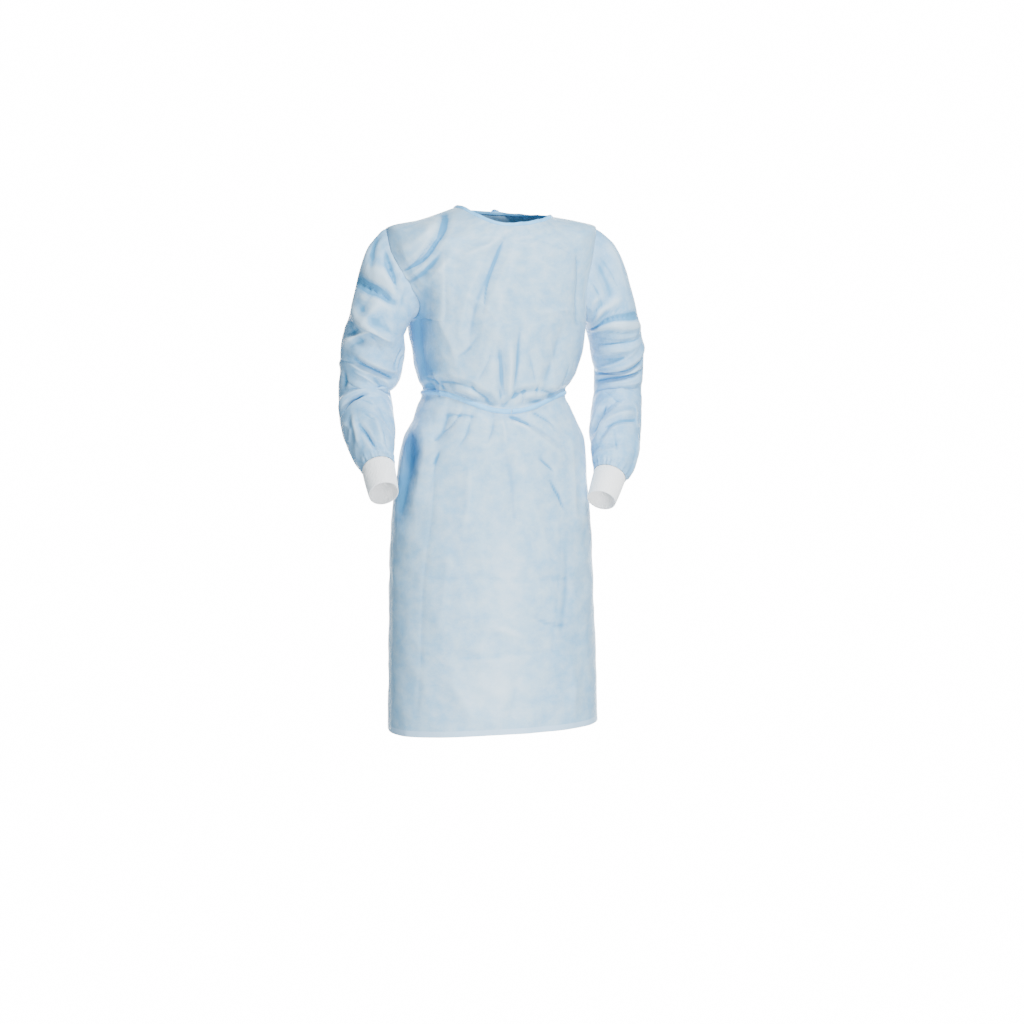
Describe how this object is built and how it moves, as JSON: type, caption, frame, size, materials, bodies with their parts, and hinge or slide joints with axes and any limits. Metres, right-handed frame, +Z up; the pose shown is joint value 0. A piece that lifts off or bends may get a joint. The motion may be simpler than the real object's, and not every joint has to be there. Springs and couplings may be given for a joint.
{
  "type": "isolation gown",
  "caption": "Worn, hollow isolation gown of nonwoven cloth with long sleeves, knit cuffs, bound neck and a tied waist, open at neck, hem and cuffs.",
  "frame": {"origin": "on the shoulder line, midway between the two sides of the neck, where the wearer holds the gown up", "axes": "+Z up along the height of the gown, -Y out of the front, +X to the wearer's left"},
  "size_m": [0.6211, 0.3163, 1.0195],
  "materials": {
    "nonwoven": "soft satin spunbond nonwoven",
    "trim": "folded nonwoven strip",
    "knit": "matt white rib knit"
  },
  "bodies": {
    "root": {"front_panel": "nonwoven", "back_panel_right": "nonwoven", "back_panel_left": "nonwoven", "sleeve_right": "nonwoven", "sleeve_left": "nonwoven", "cuff_right": "knit", "cuff_left": "knit", "neck_binding": "trim", "neck_tie_knot": "trim", "neck_tie_end_a": "trim", "neck_tie_end_b": "trim", "waist_tie_right": "trim", "waist_tie_left": "trim", "waist_tie_knot": "trim", "waist_tie_end_a": "trim", "waist_tie_end_b": "trim"}
  },
  "joints": []
}
